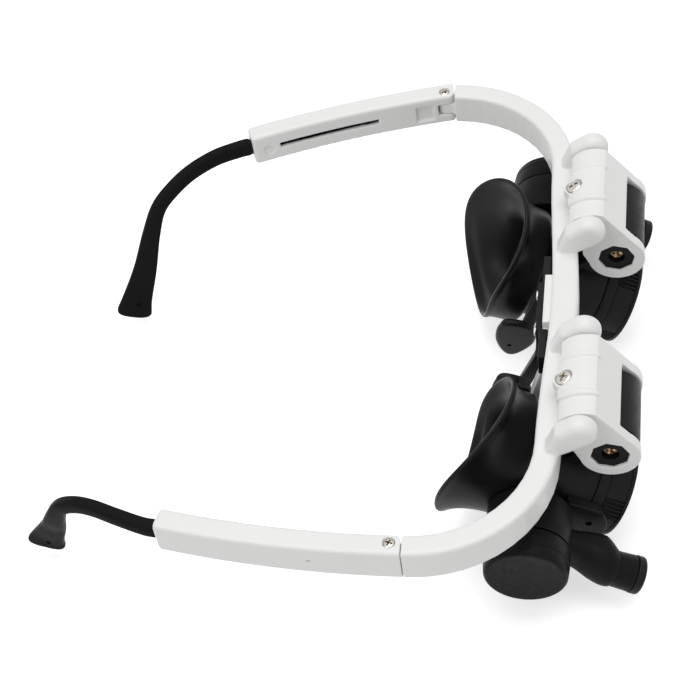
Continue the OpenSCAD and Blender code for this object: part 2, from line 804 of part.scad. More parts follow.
module left_barrel() color(black) on_left() on_optical_axis() barrel();
module right_barrel() color(black) on_right() on_optical_axis() barrel();

// A lens between two shallow domes, from the middle of its front face back
module lens(r, y_front) {
  y_rear = y_front + lens_thickness;
  ball = (r * r + lens_dome * lens_dome) / (2 * lens_dome);
  rotate([-90, 0, 0]) rotate_extrude() intersection() {
    translate([0, y_front]) square([r, y_rear - y_front]);
    translate([0, y_front + ball]) circle(r = ball, $fn = 360);
    translate([0, y_rear - ball]) circle(r = ball, $fn = 360);
  }
}

module eyepiece_lens() lens(eyepiece_seat_r - lens_fit, eyepiece_shoulder_y - lens_dome + 0.35);
module left_eyepiece_lens() color(clear) on_left() on_optical_axis() eyepiece_lens();
module right_eyepiece_lens() color(clear) on_right() on_optical_axis() eyepiece_lens();

// Threaded ring that holds a lens against its shoulder
module retainer(view_r, seat_r, shoulder_y, depth) {
  r = seat_r - lens_fit / 2;
  front = shoulder_y + 0.35 + lens_thickness - 2 * lens_dome + 0.05;
  turned([[view_r, front + 0.25], [r, front], [r, front + depth], [view_r, front + depth]]);
}

module eyepiece_retainer() retainer(eyepiece_view_r, eyepiece_seat_r, eyepiece_shoulder_y, 3);

module left_eyepiece_retainer() color(black) on_left() on_optical_axis() eyepiece_retainer();
module right_eyepiece_retainer() color(black) on_right() on_optical_axis() eyepiece_retainer();

// Turning ring that holds the front lens, with a spigot in the barrel and grip ribs
module lens_ring() {
  front = -ring_front;
  lens_y = lens_shoulder_y;
  flange_r = barrel_r + 0.3;
  turned([
    [ring_view_r + 1, front], [flange_r - 0.3, front], [flange_r, front + 0.3], [flange_r, front + 1],
    [barrel_r, front + 1.2], [barrel_r, ring_rear], [spigot_r, ring_rear],
    [spigot_r, ring_rear + spigot_length], [lens_seat_r, ring_rear + spigot_length],
    [lens_seat_r, lens_y], [ring_view_r, lens_y], [ring_view_r, lens_y - 0.5]
  ]);
  for (group = [0:3], k = [0:rib_count - 1])
    rotate([0, group * 90 + (k - (rib_count - 1) / 2) * 5 - 22, 0])
      translate([barrel_r - 0.4, front + 0.8, -0.28]) cube([0.6, ring_depth - 1.4, 0.56]);
}

module left_lens_ring() color(black) on_left() on_optical_axis() lens_ring();
module right_lens_ring() color(black) on_right() on_optical_axis() lens_ring();

module objective_lens() lens(lens_seat_r - lens_fit, lens_shoulder_y - lens_dome + 0.3);
module left_objective_lens() color(clear) on_left() on_optical_axis() objective_lens();
module right_objective_lens() color(clear) on_right() on_optical_axis() objective_lens();

module lens_retainer() retainer(ring_view_r, lens_seat_r, lens_shoulder_y - 0.05, 2.6);

module left_lens_retainer() color(black) on_left() on_optical_axis() lens_retainer();
module right_lens_retainer() color(black) on_right() on_optical_axis() lens_retainer();

// Eyecup: the rim's radius and distance back, all the way round from the temple side
function rim_radius(a) = rim_r + 1.84 * cos(a) + 0.87 * sin(a) - 1.77 * cos(2 * a);
function rim_place(a) = rim_back + wing_reach * cos(a) + 0.92 * sin(a) + 2.62 * cos(2 * a);

// Outline of the rubber at one angle: [radius, distance back], outside first and then inside
function eyecup_outline(a) =
  let (
    R = rim_radius(a),
    Y = rim_place(a),
    foot = barrel_rear + 0.1,
    seat_r = neck_r + 0.08,
    r0 = barrel_r - 0.1,
    wall = eyecup_wall,
    flare = R - r0,
    rise = Y - foot
  )
    [
      [seat_r, foot], [r0, foot], [r0 + 0.15, foot + 0.16 * rise], [r0 + 0.12 * flare, foot + 0.36 * rise],
      [r0 + 0.32 * flare, foot + 0.58 * rise], [r0 + 0.62 * flare, foot + 0.78 * rise],
      [R - 0.5, Y - 1.5], [R, Y - 0.8], [R - 0.2, Y - 0.15], [R - 0.8, Y], [R - 1.5, Y - 0.4],
      [R - 1 - wall, Y - 2],
      [r0 + 0.5 * flare - wall, foot + 0.8 * rise], [r0 + 0.22 * flare - wall, foot + 0.62 * rise],
      [r0 + 0.06 * flare - wall, foot + 0.46 * rise], [seat_r, foot + 3.6]
    ];

module eyecup() {
  steps = 40;
  ring_skin([
    for (k = [0:steps - 1])
      let (a = 360 * k / steps)
        [for (p = eyecup_outline(a)) [p[0] * cos(a), p[1], p[0] * sin(a)]]
  ]);
}

module left_eyecup() color(black) on_left() on_optical_axis() eyecup();
module right_eyecup() color(black) on_right() on_optical_axis() eyecup();

// Lamp
// Arm and head of the lamp: [distance back, centre, half width, half height, corner share]
arm_stations = [
  [-10.3, 24.4, 5.1, 5, 0.9], [-7.5, 22.9, 5.6, 5.5, 0.75], [-4, 21.3, 5.5, 5.8, 0.65],
  [0, 20.7, 4.8, 5.7, 0.55], [4, 20.6, 4.4, 5.2, 0.5]
];

function station_ring(s) =
  [for (p = round_rect(2 * s[2], 2 * s[3], min(s[2], s[3]) * s[4])) [s[1] + p[0], s[0], p[1]]];

module lamp_arm() {
  skin(concat(
    [station_ring([-13, lamp_x, lamp_head_r, lamp_head_r, 0.98])],
    [station_ring([-12.2, lamp_x, lamp_head_r + 0.1, lamp_head_r + 0.1, 0.98])],
    [for (s = arm_stations) station_ring(s)]
  ));
}

module lamp_housing() {
  front = -lamp_front + bezel_length + face_gap;
  difference() {
    union() {
      translate([0, lamp_back, 0]) along_x(cap_start_x - face_gap - drum_start_x, drum_r, drum_start_x);
      lamp_arm();
      translate([lamp_x, front, 0]) rotate([-90, 0, 0]) cylinder(h = -12.6 - front, r = lamp_head_r);
    }
    translate([0, lamp_back, 0]) {
      along_x(20, drum_r - drum_wall, drum_start_x + drum_floor);
      along_x(drum_floor + 2, lamp_screw_r + running_gap, drum_start_x - past);
    }
    translate([lamp_x, front - past, 0]) rotate([-90, 0, 0]) cylinder(h = 8, r = led_r + 0.1);
  }
}

module left_lamp_housing() color(black) on_left() on_optical_axis() lamp_housing();
module right_lamp_housing() color(black) on_right() on_optical_axis() lamp_housing();

// Screw that holds the drum on the barrel's boss and lets it turn
module lamp_pivot() {
  seat = drum_start_x + drum_floor + face_gap;
  translate([seat, 0, 0]) rotate([0, 90, 0]) phillips_head(lamp_screw_head_r, 1.1);
  along_x(seat - drum_start_x + 3.6, lamp_screw_r, drum_start_x - 3.6);
}

module left_lamp_pivot() color(nickel) on_left() on_lamp_pivot() lamp_pivot();
module right_lamp_pivot() color(nickel) on_right() on_lamp_pivot() lamp_pivot();

module lamp_bezel() {
  r = lamp_head_r + 0.15;
  bore = led_r + 0.1;
  translate([lamp_x, 0, 0]) turned([
    [bore + 0.9, -lamp_front], [r - 0.4, -lamp_front], [r, -lamp_front + 0.4],
    [r, -lamp_front + bezel_length], [bore, -lamp_front + bezel_length], [bore, -lamp_front + 0.9]
  ]);
}

module left_lamp_bezel() color(black) on_left() on_optical_axis() lamp_bezel();
module right_lamp_bezel() color(black) on_right() on_optical_axis() lamp_bezel();

module led() {
  tip_y = -lamp_front + 0.5;
  translate([lamp_x, tip_y + led_r, 0]) rotate([-90, 0, 0]) {
    sphere(r = led_r);
    cylinder(h = 4.5, r = led_r);
  }
}

module left_led() color(clear) on_left() on_optical_axis() led();
module right_led() color(clear) on_right() on_optical_axis() led();

// Bent contact strip between the screw head and the first cell
module contact_spring() {
  base_x = drum_start_x + drum_floor;
  cell_x = cap_start_x - 1.2 - 2 * cell_thickness;
  t = 0.3;
  translate([0, 0, -2]) linear_extrude(4) polygon([
    [base_x, -7], [base_x, -4], [cell_x - t, -2], [cell_x - t, 4], [cell_x, 4.1], [cell_x, -2.2],
    [base_x + t, -4.2], [base_x + t, -7]
  ]);
}

module left_contact_spring() color(nickel) on_left() on_lamp_pivot() contact_spring();
module right_contact_spring() color(nickel) on_right() on_lamp_pivot() contact_spring();

// Two coin cells, each a can with a narrower lid
module cells() {
  first = cap_start_x - 1.2 - 2 * cell_thickness;
  for (k = [0, 1]) {
    along_x(0.5, cell_r - 0.9, first + k * cell_thickness);
    along_x(cell_thickness - 0.5, cell_r, first + k * cell_thickness + 0.5);
  }
}

module left_cells() color(nickel) on_left() on_lamp_pivot() cells();
module right_cells() color(nickel) on_right() on_lamp_pivot() cells();

// Turning cap that closes the battery drum
module battery_cap() {
  start = cap_start_x;
  plug = drum_r - drum_wall - 0.1;
  soft = 2.2;
  rotate([0, 90, 0]) rotate_extrude() union() {
    square_from([0, start - 1.1], [plug, start + 1]);
    square_from([0, start], [drum_r, drum_reach - soft]);
    square_from([0, drum_reach - soft - past], [drum_r - soft, drum_reach]);
    intersection() {
      translate([drum_r - soft, drum_reach - soft]) circle(r = soft);
      square_from([0, start], [drum_r, drum_reach]);
    }
  }
}

module square_from(low, high) translate(low) square(high - low);

module left_battery_cap() color(black) on_left() on_lamp_pivot() battery_cap();
module right_battery_cap() color(black) on_right() on_lamp_pivot() battery_cap();

front_bar();
nose_plate();
nose_bridge();
nose_pads();
nose_screws();
left_bracket();
right_bracket();
bracket_screws();
end_plugs();
pivot_screws();
friction_washers();
left_temple();
right_temple();
left_hinge_screw();
right_hinge_screw();
left_slide_bar();
right_slide_bar();
left_tip();
right_tip();
left_roller();
right_roller();
left_barrel();
right_barrel();
left_eyecup();
right_eyecup();
left_eyepiece_lens();
right_eyepiece_lens();
left_eyepiece_retainer();
right_eyepiece_retainer();
left_lens_ring();
right_lens_ring();
left_objective_lens();
right_objective_lens();
left_lens_retainer();
right_lens_retainer();
left_lamp_housing();
right_lamp_housing();
left_lamp_pivot();
right_lamp_pivot();
left_lamp_bezel();
right_lamp_bezel();
left_led();
right_led();
left_contact_spring();
right_contact_spring();
left_cells();
right_cells();
left_battery_cap();
right_battery_cap();
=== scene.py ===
import json
import math

import bmesh
import bpy
from mathutils import Matrix, Vector


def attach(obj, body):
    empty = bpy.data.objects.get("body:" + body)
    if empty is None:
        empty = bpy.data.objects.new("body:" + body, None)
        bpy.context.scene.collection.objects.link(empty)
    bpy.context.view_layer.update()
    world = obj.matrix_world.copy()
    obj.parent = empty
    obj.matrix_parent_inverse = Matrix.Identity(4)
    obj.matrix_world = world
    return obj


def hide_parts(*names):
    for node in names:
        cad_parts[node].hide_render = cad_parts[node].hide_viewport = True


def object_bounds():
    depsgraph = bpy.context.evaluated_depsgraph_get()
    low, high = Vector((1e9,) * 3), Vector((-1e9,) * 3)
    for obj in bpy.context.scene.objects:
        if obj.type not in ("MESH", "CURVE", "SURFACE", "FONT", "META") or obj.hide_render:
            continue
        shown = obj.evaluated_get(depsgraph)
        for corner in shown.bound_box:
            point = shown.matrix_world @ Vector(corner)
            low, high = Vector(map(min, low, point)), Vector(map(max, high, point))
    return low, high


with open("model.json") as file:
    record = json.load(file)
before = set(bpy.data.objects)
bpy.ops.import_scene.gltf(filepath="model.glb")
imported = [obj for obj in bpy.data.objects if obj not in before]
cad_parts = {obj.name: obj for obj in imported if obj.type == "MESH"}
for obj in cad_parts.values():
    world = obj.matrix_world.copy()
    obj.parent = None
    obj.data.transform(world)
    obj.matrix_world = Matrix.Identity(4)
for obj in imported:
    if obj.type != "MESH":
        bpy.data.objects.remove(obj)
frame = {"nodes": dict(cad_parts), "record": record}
cad_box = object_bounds()

# Sizes in millimetres, as in the CAD source. The frame is the CAD's: +X the wearer's left,
# -Y the wearer's front, +Z up.
MM = 0.001
HINGE_X = 76.0
LEFT_FOLD = 12.5
TEMPLE_END = (71.0, 55.5, -4.85)
LOUPE_X = 32.0
TUBE_Y = -48.8
TUBE_Z = -7.8
LOUPE_TILT = 25.0
LOUPE_DROP = 24.8
BARREL_R = 12.6
BARREL_REAR = 14.0
RING_FRONT = -13.0
RING_REAR = -7.0
NECK_R = 10.3
LAMP_BACK = 9.9
DRUM_R = 10.4
CAP_START = 27.6
DRUM_REACH = 35.2
HEAD_X = 25.1
HINGE_PIN_R = 1.0

SIDES = ("left", "right")

# Light: strength of the world, glow of the paper and the lamps' power in watts
WORLD_LIGHT = 0.48
PAPER_GLOW = 0.56
OVERHEAD_POWER = 8.5
KEY_POWER = 2.2

# Camera: place in metres, focal length and picture width in pixels, sensor width in millimetres,
# and its azimuth, elevation and roll in degrees
CAMERA_PLACE = (-0.31134, -0.05798, 0.34485)
FOCAL_LENGTH = 1850.1
PICTURE_WIDTH = 680
SENSOR_WIDTH = 36
CAMERA_ANGLES = (284.5, 48.5, -10.1)


def translation(x, y, z):
    return Matrix.Translation((x, y, z))


def rotation(degrees, axis):
    return Matrix.Rotation(math.radians(degrees), 4, axis)


# Places of the left-hand pieces; the right-hand ones are mirrored and their temple isn't folded in
MIRROR = Matrix.Diagonal((-1, 1, 1, 1))
FOLD = translation(HINGE_X, 0, 0) @ rotation(LEFT_FOLD, "Z") @ translation(-HINGE_X, 0, 0)
TUBE = translation(LOUPE_X, TUBE_Y, TUBE_Z) @ rotation(LOUPE_TILT, "X")
OPTICAL_AXIS = TUBE @ translation(0, 0, -LOUPE_DROP)
LAMP_AXIS = OPTICAL_AXIS @ translation(0, LAMP_BACK, 0)


def on_side(side, place):
    return place if side == "left" else MIRROR @ place


# Materials

def seen_directly(tree):
    """1 for what the camera sees, itself or in gloss and glass; 0 for what only lights the object."""
    rays = tree.nodes.new("ShaderNodeLightPath").outputs
    seen = rays["Is Camera Ray"]
    for name in ("Is Glossy Ray", "Is Transmission Ray"):
        either = tree.nodes.new("ShaderNodeMath")
        either.operation = "MAXIMUM"
        tree.links.new(seen, either.inputs[0])
        tree.links.new(rays[name], either.inputs[1])
        seen = either.outputs["Value"]
    return seen


class Shader:
    """A principled material that is built node by node."""

    def __init__(self, name, **constants):
        self.material = bpy.data.materials.new(name)
        self.material.use_nodes = True
        self.nodes = self.material.node_tree.nodes
        self.links = self.material.node_tree.links
        self.principled = self.nodes["Principled BSDF"]
        self.place = self.nodes.new("ShaderNodeTexCoord").outputs["Object"]
        for socket, value in constants.items():
            self.principled.inputs[socket.replace("_", " ")].default_value = value

    def link(self, output, socket):
        self.links.new(output, socket)

    def noise(self, scale, detail, stretch=None):
        node = self.nodes.new("ShaderNodeTexNoise")
        node.inputs["Scale"].default_value = scale
        node.inputs["Detail"].default_value = detail
        place = self.place
        if stretch:
            mapping = self.nodes.new("ShaderNodeMapping")
            mapping.inputs["Scale"].default_value = stretch
            self.link(place, mapping.inputs["Vector"])
            place = mapping.outputs["Vector"]
        self.link(place, node.inputs["Vector"])
        return node.outputs["Fac"]

    def ramp(self, factor, low, high):
        """low to high over the middle of a noise's values."""
        node = self.nodes.new("ShaderNodeMapRange")
        node.inputs["From Min"].default_value = 0.35
        node.inputs["From Max"].default_value = 0.65
        node.inputs["To Min"].default_value = low
        node.inputs["To Max"].default_value = high
        self.link(factor, node.inputs["Value"])
        return node.outputs["Result"]

    def colour(self, factor, first, second):
        node = self.nodes.new("ShaderNodeMix")
        node.data_type = "RGBA"
        node.inputs["A"].default_value = (*first, 1)
        node.inputs["B"].default_value = (*second, 1)
        self.link(factor, node.inputs["Factor"])
        self.link(node.outputs["Result"], self.principled.inputs["Base Color"])

    def roughness(self, factor, low, high):
        self.link(self.ramp(factor, low, high), self.principled.inputs["Roughness"])

    def bump(self, heights, distance):
        """heights is a list of (factor, share), and distance is in metres."""
        total = None
        for factor, share in heights:
            node = self.nodes.new("ShaderNodeMath")
            node.operation = "MULTIPLY_ADD"
            node.inputs[1].default_value = share
            self.link(factor, node.inputs[0])
            if total is not None:
                self.link(total, node.inputs[2])
            else:
                node.inputs[2].default_value = 0
            total = node.outputs["Value"]
        bump = self.nodes.new("ShaderNodeBump")
        bump.inputs["Strength"].default_value = 1.0
        bump.inputs["Distance"].default_value = distance
        self.link(total, bump.inputs["Height"])
        self.link(bump.outputs["Normal"], self.principled.inputs["Normal"])


def white_plastic():
    """Satin white moulding: a soft gloss and faint flow marks."""
    s = Shader("white_plastic", IOR=1.5, Specular_IOR_Level=0.35)
    flow = s.noise(45, 3, (1.0, 1.0, 2.5))
    s.colour(flow, (0.80, 0.80, 0.785), (0.845, 0.845, 0.84))
    s.roughness(s.noise(320, 4), 0.3, 0.4)
    s.bump([(s.noise(2600, 3), 0.5), (s.noise(700, 2), 0.5)], 0.000012)
    return s.material


def black_plastic(name="black_plastic", gloss=0.3):
    """Matt black moulding with a fine spark-eroded grain. gloss is its specular level."""
    s = Shader(name, IOR=1.35, Specular_IOR_Level=gloss)
    s.colour(s.noise(70, 3), (0.0045, 0.0048, 0.0046), (0.0085, 0.009, 0.0087))
    s.roughness(s.noise(600, 4), 0.36, 0.5)
    s.bump([(s.noise(3200, 4), 1.0), (s.noise(420, 2), 0.6)], 0.00005)
    return s.material


def black_rubber(name="black_rubber", ior=1.32, tone=1):
    """Soft rubber: smoother than the mouldings, with a broad dull shine. tone makes it paler."""
    s = Shader(name, IOR=ior, Specular_IOR_Level=0.3)
    dark = [tone * c for c in (0.004, 0.0043, 0.0041)]
    light = [tone * c for c in (0.0075, 0.008, 0.0077)]
    s.colour(s.noise(38, 4), dark, light)
    s.roughness(s.noise(150, 4), 0.3, 0.42)
    s.bump([(s.noise(1500, 3), 0.5), (s.noise(160, 2), 0.7)], 0.00004)
    return s.material


def metal(name, first, second, low, high, grain):
    """Plated or plain metal with fine turning marks."""
    s = Shader(name, Metallic=1.0)
    s.colour(s.noise(500, 3), first, second)
    s.roughness(s.noise(1800, 3, grain), low, high)
    s.bump([(s.noise(5200, 2, grain), 1.0)], 0.00001)
    return s.material


def lens_glass():
    """Clear glass with a pale green coating."""
    s = Shader("lens_glass", IOR=1.52, Transmission_Weight=1.0, Coat_Weight=0.6, Coat_IOR=1.7)
    s.principled.inputs["Coat Tint"].default_value = (0.8, 0.93, 0.9, 1)
    s.colour(s.noise(30, 1), (0.93, 0.97, 0.96), (0.96, 0.985, 0.98))
    s.roughness(s.noise(200, 2), 0.0, 0.03)
    return s.material


def lamp_lens():
    """Clear lamp body with the milky phosphor inside."""
    s = Shader("led_plastic", IOR=1.5, Transmission_Weight=0.35)
    s.colour(s.noise(900, 2), (0.88, 0.88, 0.8), (0.97, 0.96, 0.88))
    s.roughness(s.noise(700, 2), 0.05, 0.14)
    return s.material


MATERIALS = {
    "white_plastic": white_plastic(),
    "black_plastic": black_plastic(),
    "dull_plastic": black_plastic("dull_plastic", 0.15),
    "black_rubber": black_rubber(),
    "tip_rubber": black_rubber("tip_rubber", 1.06, 2.2),
    "nickel_steel": metal("nickel_steel", (0.5, 0.47, 0.42), (0.68, 0.66, 0.61), 0.12, 0.26,
                          (1, 1, 0.2)),
    "brass": metal("brass", (0.27, 0.18, 0.1), (0.42, 0.31, 0.19), 0.2, 0.34, (0.2, 1, 1)),
    "cell_steel": metal("cell_steel", (0.55, 0.55, 0.55), (0.7, 0.7, 0.7), 0.2, 0.32,
                        (0.2, 1, 1)),
    "lens_glass": lens_glass(),
    "led_plastic": lamp_lens(),
}

SLOTS = {part["node"]: part["material_slot"] for part in frame["record"]["subparts"]}
BODIES = {node: body for body, nodes in frame["record"]["behaviour"]["bodies"].items()
          for node in nodes}


# Shapes

def add_object(name, mesh):
    mesh.shade_smooth()
    obj = bpy.data.objects.new(name, mesh)
    bpy.context.scene.collection.objects.link(obj)
    return obj


def add_mesh(name, verts, faces, place=Matrix()):
    """A smooth-shaded object from points in millimetres."""
    bm = bmesh.new()
    points = [bm.verts.new((place @ Vector(v)) * MM) for v in verts]
    for face in faces:
        bm.faces.new([points[i] for i in face])
    bmesh.ops.recalc_face_normals(bm, faces=bm.faces)
    mesh = bpy.data.meshes.new(name)
    bm.to_mesh(mesh)
    bm.free()
    return add_object(name, mesh)


def bake(obj):
    """Applies obj's modifiers."""
    graph = bpy.context.evaluated_depsgraph_get()
    mesh = bpy.data.meshes.new_from_object(obj.evaluated_get(graph))
    obj.modifiers.clear()
    old = obj.data
    obj.data = mesh
    bpy.data.meshes.remove(old)
    obj.data.shade_smooth()
    return obj


def discard(obj):
    mesh = obj.data
    bpy.data.objects.remove(obj)
    bpy.data.meshes.remove(mesh)


def join(name, parts):
    """One object from several, with their points as they are."""
    bm = bmesh.new()
    for part in parts:
        bm.from_mesh(part.data)
        discard(part)
    mesh = bpy.data.meshes.new(name)
    bm.to_mesh(mesh)
    bm.free()
    return add_object(name, mesh)


def finish_piece(obj, node, sharp=None, material=None):
    """Gives a piece its material and its body, and hides the CAD node that it stands for.

    Edges over the angle sharp, in degrees, aren't shaded smooth."""
    if sharp:
        obj.data.set_sharp_from_angle(angle=math.radians(sharp))
    obj.data.materials.clear()
    obj.data.materials.append(MATERIALS[material or SLOTS[node]])
    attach(obj, BODIES[node])
    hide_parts(node)
    return obj


def rounded(points, radii, steps=4):
    """A closed outline with its corners rounded, each by its own radius."""
    out = []
    for i, p in enumerate(points):
        a, b, c = Vector(points[i - 1]), Vector(p), Vector(points[(i + 1) % len(points)])
        u, v = a - b, c - b
        size = min(radii[i], 0.45 * u.length, 0.45 * v.length)
        if size < 0.01:
            out.append(tuple(b))
            continue
        start, end = b + u.normalized() * size, b + v.normalized() * size
        for k in range(steps + 1):
            t = k / steps
            out.append(tuple(start * (1 - t) ** 2 + b * (2 * t * (1 - t)) + end * t ** 2))
    return out


def revolve(name, outline, place, steps=144, along="Y", swell=None):
    """Turns an outline of (radius, distance) about the axis along.

    swell(angle, radius, distance) adds to the radius."""
    verts, faces, rows = [], [], []
    for radius, distance in outline:
        row = []
        for k in range(steps if radius > 1e-6 else 1):
            a = 2 * math.pi * k / steps
            r = radius + (swell(a, radius, distance) if swell else 0)
            row.append(len(verts))
            if along == "Y":
                verts.append((r * math.cos(a), distance, r * math.sin(a)))
            else:
                verts.append((distance, r * math.cos(a), r * math.sin(a)))
        rows.append(row)
    for i, row in enumerate(rows):
        following = rows[(i + 1) % len(rows)]
        if len(row) == 1 and len(following) == 1:
            continue
        for k in range(steps):
            m = (k + 1) % steps
            if len(row) == 1:
                faces.append((row[0], following[m], following[k]))
            elif len(following) == 1:
                faces.append((row[k], row[m], following[0]))
            else:
                faces.append((row[k], row[m], following[m], following[k]))
    return add_mesh(name, verts, faces, place)


def skin(name, rings, place=Matrix()):
    """A closed tube through rings of points."""
    n = len(rings[0])
    verts = [p for ring in rings for p in ring]
    faces = [tuple(range(n)), tuple(range(len(verts) - n, len(verts)))]
    for k in range(len(rings) - 1):
        for i in range(n):
            j = (i + 1) % n
            faces.append((k * n + i, k * n + j, (k + 1) * n + j, (k + 1) * n + i))
    return add_mesh(name, verts, faces, place)


def slab(name, outline, low, high, place, edge):
    """An outline in Y and Z, drawn out along X from low to high, with rounded edges."""
    insets = []
    centre = Vector((sum(p[0] for p in outline), sum(p[1] for p in outline))) / len(outline)
    for k in range(5):
        a = math.pi / 2 * k / 4
        insets.append((low + edge * (1 - math.sin(a)), edge * (1 - math.cos(a))))
    insets = sorted(insets) + sorted((low + high - x, inset) for x, inset in insets)
    rings = []
    for x, inset in insets:
        ring = []
        for p in outline:
            out = Vector(p) - centre
            q = centre + out * max(0.05, 1 - inset / max(out.length, 0.01))
            ring.append((x, q.x, q.y))
        rings.append(ring)
    return skin(name, rings, place)


def cut(obj, cutters):
    """Takes closed shapes out of obj."""
    for cutter in cutters:
        hole = obj.modifiers.new("hole", "BOOLEAN")
        hole.operation = "DIFFERENCE"
        hole.solver = "EXACT"
        hole.object = cutter
    bake(obj)
    for cutter in cutters:
        discard(cutter)
    return obj


def rod(name, radius, low, high, place):
    """A plain round bar along X, from low to high."""
    return revolve(name, [(0, low), (radius, low), (radius, high), (0, high)], place, 32, "X")


def copy_node(node, name):
    """A new object with a CAD node's shape."""
    source = frame["nodes"][node]
    mesh = source.data.copy()
    mesh.transform(source.matrix_world)
    mesh.materials.clear()
    obj = bpy.data.objects.new(name, mesh)
    bpy.context.scene.collection.objects.link(obj)
    return obj


def soften(obj, voxel, rounds):
    """Rounds a solid's edges, as a mould does: a fine even mesh, then a few rounds of smoothing."""
    mesher = obj.modifiers.new("even", "REMESH")
    mesher.mode = "VOXEL"
    mesher.voxel_size = voxel * MM
    smoother = obj.modifiers.new("soft", "SMOOTH")
    smoother.factor = 0.5
    smoother.iterations = rounds
    return bake(obj)


def moulded(node, voxel, rounds, extra=()):
    """A CAD node, with its extra shapes, as one piece with the soft edges of a moulding.

    voxel is in millimetres."""
    obj = copy_node(node, node + "_moulding")
    if extra:
        obj = join(node + "_moulding", [obj, *extra])
    soften(obj, voxel * (1), rounds)
    return finish_piece(obj, node)


def spline(p0, p1, p2, p3, t):
    """A point between p1 and p2 on the smooth curve through four points."""
    return 0.5 * (2 * p1 + (p2 - p0) * t + (2 * p0 - 5 * p1 + 4 * p2 - p3) * t ** 2
                  + (3 * p1 - p0 - 3 * p2 + p3) * t ** 3)


def catmull(points, s):
    """The point at station s of an open curve."""
    last = len(points) - 1
    k = min(int(s), last - 1)
    near = (Vector(points[max(0, min(last, k + i))]) for i in (-1, 0, 1, 2))
    return spline(*near, s - k)


# Crown of a bracket in Y and Z, measured from its tube's axis: centre and radius, the angles of its
# front ridge and its rear end, and half the width of its middle band
CROWN = Vector((5.8, 8.5))
CROWN_R = 7.5
CROWN_FRONT, CROWN_REAR = 114.0, 32.0
BAND_HALF = 5.8


def band_rib(x, place):
    """A soft raised rib along one edge of the crown's middle band."""
    rings = []
    steps = 24
    for k in range(steps + 1):
        t = k / steps
        a = math.radians(CROWN_FRONT + (CROWN_REAR - CROWN_FRONT) * t)
        out = Vector((0, math.cos(a), math.sin(a)))
        middle = Vector((x, *CROWN)) + out * (CROWN_R + 0.1)
        size = 0.15 + 0.85 * math.sin(math.pi * min(t + 0.04, 1)) ** 0.35
        ring = []
        for i in range(16):
            b = 2 * math.pi * i / 16
            ring.append(middle + Vector((1, 0, 0)) * (size * math.cos(b))
                        + out * (size * 0.85 * math.sin(b)))
        rings.append(ring)
    return skin("rib", rings, place)


# A bracket's screw stands square to the crown's slope; its own axis is X, as for every screw here
BRACKET_SCREW = translation(LOUPE_X, -37.9, 5.95) @ rotation(-24, "X") @ rotation(-90, "Y")

# White frame
moulded("front_bar", 0.28, 6)
for side in SIDES:
    moulded(side + "_temple", 0.22, 4)
    bracket_place = on_side(side, translation(LOUPE_X, TUBE_Y, TUBE_Z))
    extra = [band_rib(x, bracket_place) for x in (-BAND_HALF, BAND_HALF)]
    extra.append(rod("boss", 2.3, -4, -0.05, on_side(side, BRACKET_SCREW)))
    moulded(side + "_bracket", 0.15, 3, extra)

# Nose piece: the black web reaches forward round the ends of the white plate. The pads' outline is in Y
# and Z, stretched downwards from its top; the pads lean outwards, by a slope in X
NOSE_Y = -32.53
NOSE_PAD = [
    (12.9, -22.8), (11.6, -21.6), (6.9, -22.9), (5.9, -25.6), (6.6, -29.4), (9.6, -32.6), (11.9, -33.7),
    (13.4, -32), (14.3, -28.4), (13.9, -25),
]
NOSE_PAD_R = 1.2
PAD_TOP_Z = -21.6
PAD_STRETCH = 1.15
PAD_X = 9.4
PAD_SLOPE = -0.17


def block(name, low, high):
    """A plain block that is softened later with the piece that it belongs to."""
    verts = [(x, y, z) for x in (low[0], high[0]) for y in (low[1], high[1]) for z in (low[2], high[2])]
    faces = [(0, 1, 3, 2), (4, 5, 7, 6), (0, 1, 5, 4), (2, 3, 7, 6), (0, 2, 6, 4), (1, 3, 7, 5)]
    return add_mesh(name, verts, faces)


def nose_pad(x_sign):
    """A soft teardrop with a round edge and a small hole."""
    count = len(NOSE_PAD)
    outline = []
    for i in range(count):
        near = [Vector(NOSE_PAD[(i + k) % count]) for k in (-1, 0, 1, 2)]
        for k in range(8):
            q = spline(*near, k / 8)
            outline.append(Vector((q.x, PAD_TOP_Z + PAD_STRETCH * (q.y - PAD_TOP_Z))))
    n = len(outline)
    rings = []
    for k in range(13):
        a = math.radians(-90 + 15 * k)
        ring = []
        for i, p in enumerate(outline):
            along = (outline[(i + 1) % n] - outline[i - 1]).normalized()
            q = p + Vector((-along.y, along.x)) * (-NOSE_PAD_R * math.cos(a))
            x = PAD_X + PAD_SLOPE * (q.y - PAD_TOP_Z) + NOSE_PAD_R * math.sin(a)
            ring.append((x_sign * x, NOSE_Y + q.x, q.y))
        rings.append(ring)
    pad = skin("pad", rings)
    hole = translation(x_sign * 10.9, NOSE_Y + 11.9, -31.2)
    return cut(pad, [rod("pad_hole", 0.55, -4, 4, hole)])


plate_boss = block("boss", (-7.6, -33.5, -6), (8.4, NOSE_Y + 1.3, -1.6))
moulded("nose_plate", 0.22, 3, [plate_boss])
webs = [block("web", (low_x, NOSE_Y - 0.02, -10.55), (high_x, NOSE_Y + 2.1, -4.1))
        for low_x, high_x in ((8.6, 17.1), (-17.1, -7.7))]
moulded("nose_bridge", 0.22, 4, webs)
finish_piece(join("nose_pad_pair", [nose_pad(1), nose_pad(-1)]), "nose_pads", 50)


# Temple tips: a rubber stem that bends down behind the ear and flares into a thin foot
TIP_ROUTE = [
    (0, 0.3, 0), (-0.5, 3.8, 0), (-2.7, 10.6, 0.2), (-5.8, 17.5, -0.8), (-8.5, 23.2, -3.4),
    (-10.8, 28.3, -7.8), (-13.2, 31.9, -15.2), (-16.8, 35.7, -25), (-19.8, 40, -34.2), (-20.9, 41.9, -39),
]
